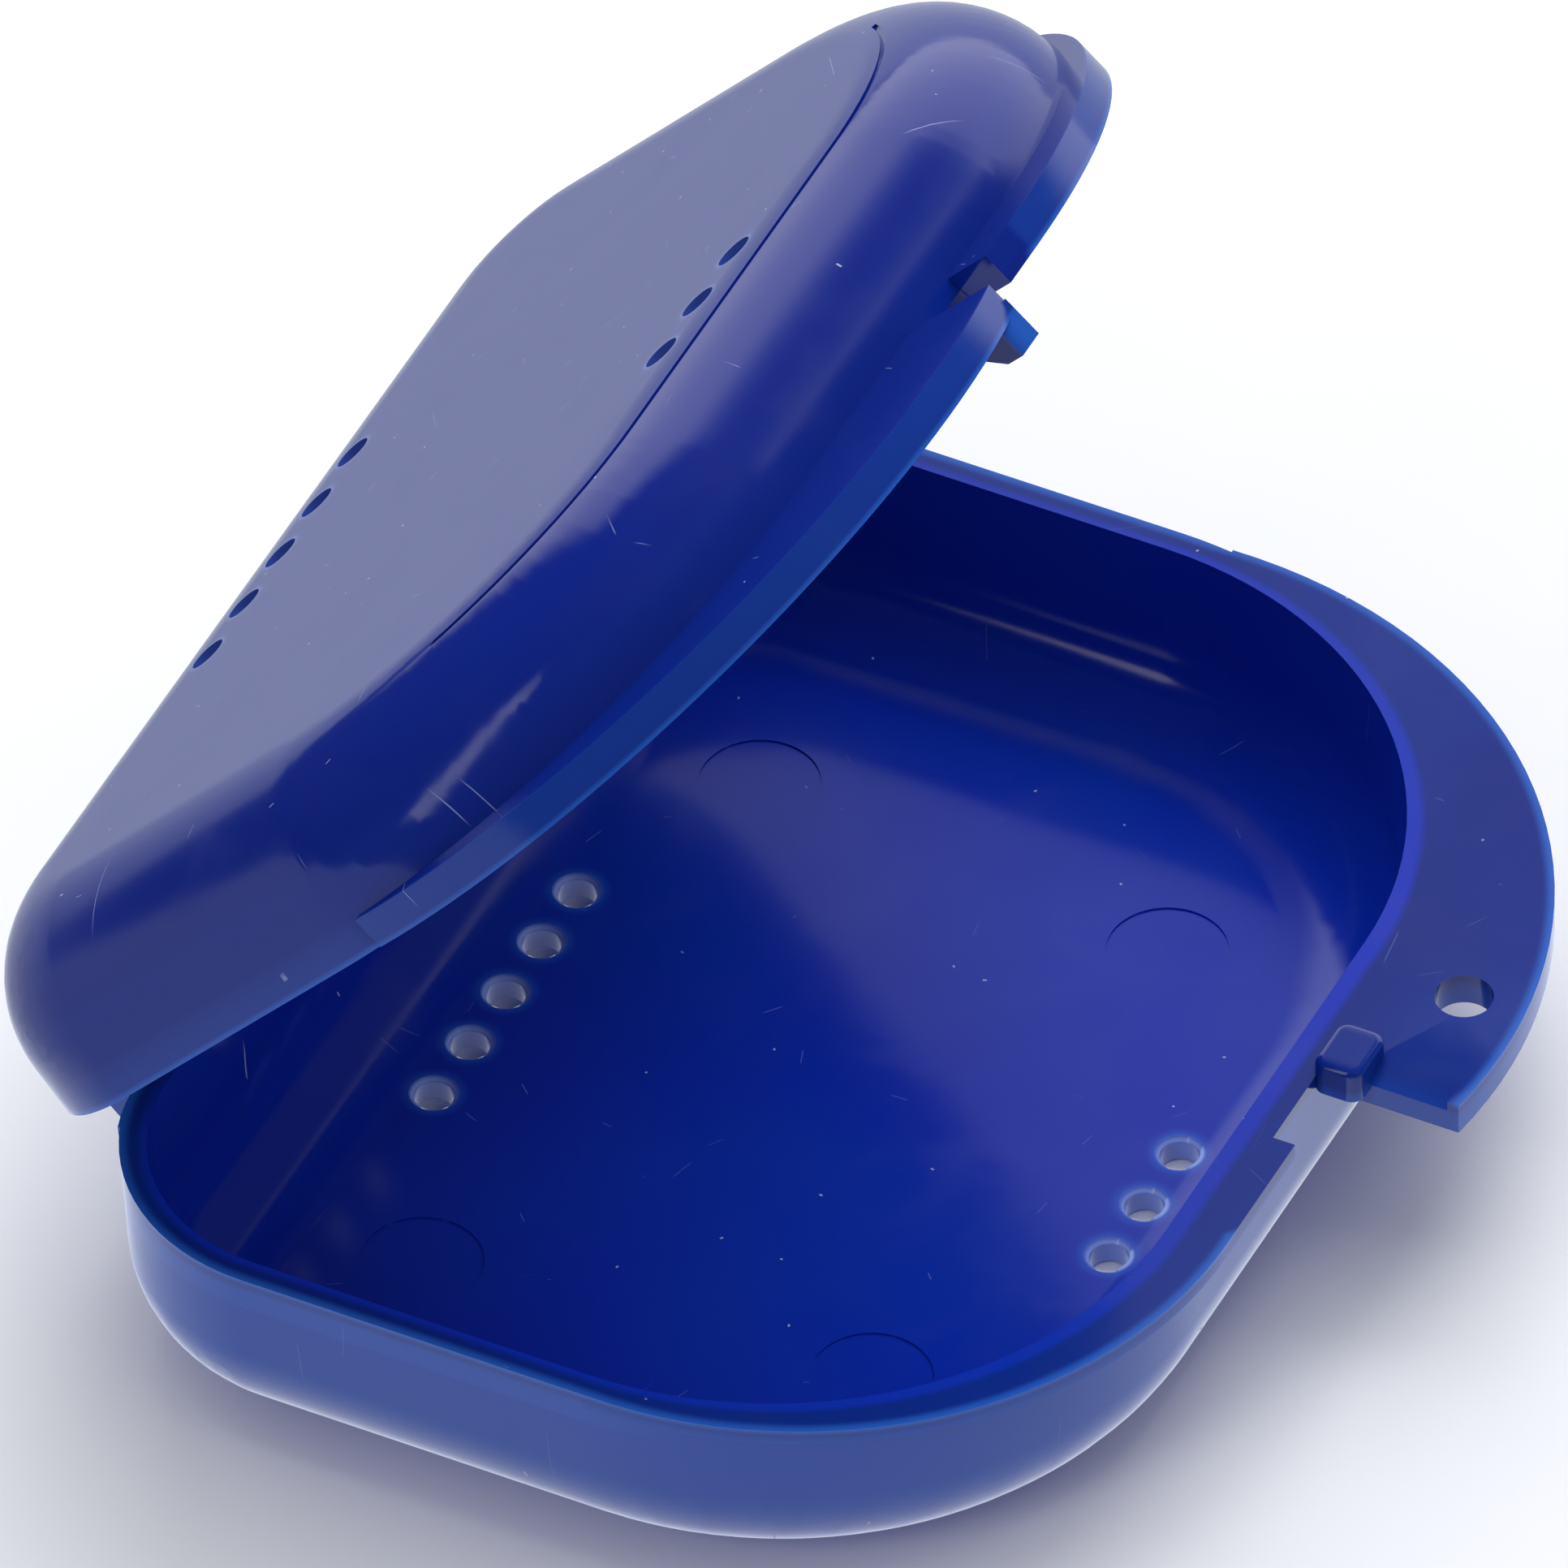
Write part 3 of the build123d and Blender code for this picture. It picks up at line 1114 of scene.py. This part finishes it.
@dataclass
class Studio:
    """Pale floor, soft lamps and a dim room with a bright wall behind the case.

    The dim level is what the gloss mirrors outside the patches, the soft level is what
    lights the matt part of a surface, leaning to +Y, and the seen level is the backdrop.
    """

    floor_half: float = 1.6
    floor_cells: int = 8
    floor_drop: float = 0.15 * MM
    target: Vector = Vector((0.0, 0.0, 0.02))
    lamps: tuple[Lamp, ...] = (
        Lamp("back_panel", 195.0, 50.0, 0.9, 0.9, 0.6, 5.0),
        Lamp("top_panel", 180.0, 80.0, 1.3, 1.1, 1.1, 6.0),
        Lamp("left_window", -17.0, 32.0, 1.3, 0.3, 0.6, 3.0),
    )
    patches: tuple[Patch, ...] = (
        Patch(-162.0, 46.0, -4.0, 42.0, 1.5, 5.0, 8.0),
        Patch(-17.0, 5.0, 8.0, 55.0, 2.0, 1.5, 6.0, 7.0),
        Patch(86.0, 4.0, 40.0, 47.0, 2.6, 1.5, 2.0, 3.0),
    )
    dim: float = 0.05
    soft: float = 0.62
    lean: float = 0.35
    seen: float = 0.86
    backdrop: Colour = srgb(250, 250, 252)
    ripple_scale: float = 9.0
    ripple_detail: float = 2.0
    ripple_middle: float = 0.5

    def _floor(self) -> None:
        """Lay the floor just under the tray."""
        work = bmesh.new()
        cells = self.floor_cells
        bmesh.ops.create_grid(work, x_segments=cells, y_segments=cells, size=self.floor_half)
        bmesh.ops.translate(work, verts=work.verts, vec=Vector((0, 0, -self.floor_drop)))
        floor = new_object("floor", new_mesh("floor", work, FloorPaper().build()))

    def _room(self) -> None:
        """Light the case evenly, and let its gloss mirror the bright patches."""
        world = bpy.data.worlds.new("room")
        bpy.context.scene.world = world
        world.use_nodes = True
        shader = Shader(world.node_tree)
        place = shader.wire("ShaderNodeTexCoord", "Generated")
        noise = shader.noise(place, self.ripple_scale, self.ripple_detail)
        ripple = noise - self.ripple_middle
        way = shader.axes(place)
        mirrored: Number = self.dim
        for patch in self.patches:
            mirrored = patch.light(way, ripple) + mirrored
        even = (way[1] * self.lean + 1.0) * self.soft
        level = shader.ray(Ray.GLOSSY) * (mirrored - even) + even
        strength = shader.ray(Ray.CAMERA) * (self.seen - level) + level
        sockets = {"Color": self.backdrop, "Strength": strength}
        light = shader.wire("ShaderNodeBackground", 0, sockets=sockets)
        shader.node("ShaderNodeOutputWorld", sockets={"Surface": light})

    def build(self) -> None:
        """Set up the floor, the lamps and the room."""
        self._floor()
        self._room()
        for lamp in self.lamps:
            lamp.build(self.target)
        bpy.context.scene.view_settings.view_transform = "Standard"


@dataclass(frozen=True)
class PhotoCamera:
    """Camera at the photograph's angle, with a lens so long that it sees nearly flat.

    Angles are in degrees and lengths in metres, apart from the sensor's millimetres. From
    the anchor, centre_right and centre_down lead to the middle of the picture.
    """

    azimuth: float = 26.787
    elevation: float = 43.72
    roll: float = -0.957
    distance: float = 3.0
    pixels_per_mm: float = 19.915
    sensor: float = 36.0
    anchor: Vector = Vector((0.65, 0.0, 0.0)) * MM
    centre_right: float = -3.2407 * MM
    centre_down: float = -20.851 * MM
    farthest: float = 100.0

    def build(self) -> None:
        """Place the camera and make it the scene's."""
        back = towards(self.azimuth, self.elevation)
        level_right = towards(self.azimuth + RIGHT_ANGLE, 0.0)
        level_up = back.cross(level_right)
        lean = math.radians(self.roll)
        right = level_right * math.cos(lean) + level_up * math.sin(lean)
        down = level_right * math.sin(lean) - level_up * math.cos(lean)
        aim = self.anchor + right * self.centre_right + down * self.centre_down
        data = bpy.data.cameras.new("camera")
        data.sensor_width = self.sensor
        shown_mm = PHOTO_PIXELS / self.pixels_per_mm
        data.lens = self.distance / MM / shown_mm * self.sensor
        data.clip_end = self.farthest
        camera = new_object("camera", data)
        place = Matrix((right, -down, back)).transposed().to_4x4()
        place.translation = aim + back * self.distance
        camera.matrix_world = place
        bpy.context.scene.camera = camera


def clear_defaults() -> None:
    """Remove what Blender starts with, and keep the frame."""
    kept = set(frame["nodes"].values()) | set(frame["bodies"].values())
    for stray in [item for item in bpy.data.objects if item not in kept]:
        bpy.data.objects.remove(stray, do_unlink=True)


def main() -> None:
    """Build the case, then the studio round it."""
    logging.basicConfig(level=logging.INFO, format="%(name)s %(message)s")
    clear_defaults()
    RetainerCase().build()
    Studio().build()
    PhotoCamera().build()


if __name__ == "__main__":
    main()
